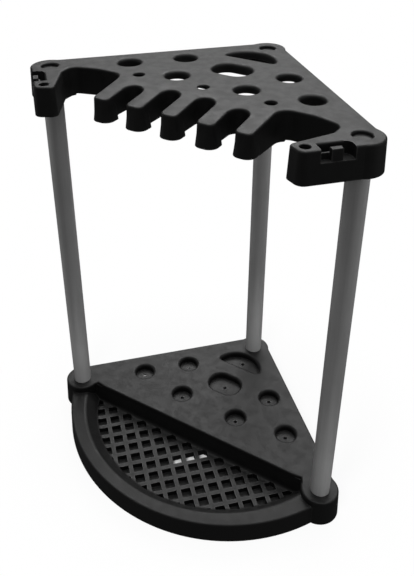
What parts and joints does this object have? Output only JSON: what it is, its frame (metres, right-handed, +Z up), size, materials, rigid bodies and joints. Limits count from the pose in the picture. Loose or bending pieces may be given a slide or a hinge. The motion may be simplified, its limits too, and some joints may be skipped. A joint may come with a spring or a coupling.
{
  "type": "corner tool rack",
  "caption": "Quarter-round free-standing corner rack: a comb-fronted shelf on slim tube posts over a base with handle cups and a curved grille tray.",
  "frame": {"origin": "centre of the bounding box, on the ground", "axes": "+Z up, +Y towards the room corner behind the rack, curved front towards -Y, the rack is a mirror image of itself in X = 0"},
  "size_m": [0.5662, 0.4561, 0.69],
  "materials": {
    "moulding": "black, fine matt texture",
    "tube": "satin grey coating",
    "plug": "black",
    "screw": "zinc plated"
  },
  "bodies": {
    "root": {"top_shelf": "moulding", "base": "moulding", "post_left": "tube", "plug_upper_left": "plug", "plug_lower_left": "plug", "screw_left": "screw", "post_right": "tube", "plug_upper_right": "plug", "plug_lower_right": "plug", "screw_right": "screw", "post_rear": "tube", "plug_upper_rear": "plug", "plug_lower_rear": "plug", "screw_rear": "screw"}
  },
  "joints": []
}
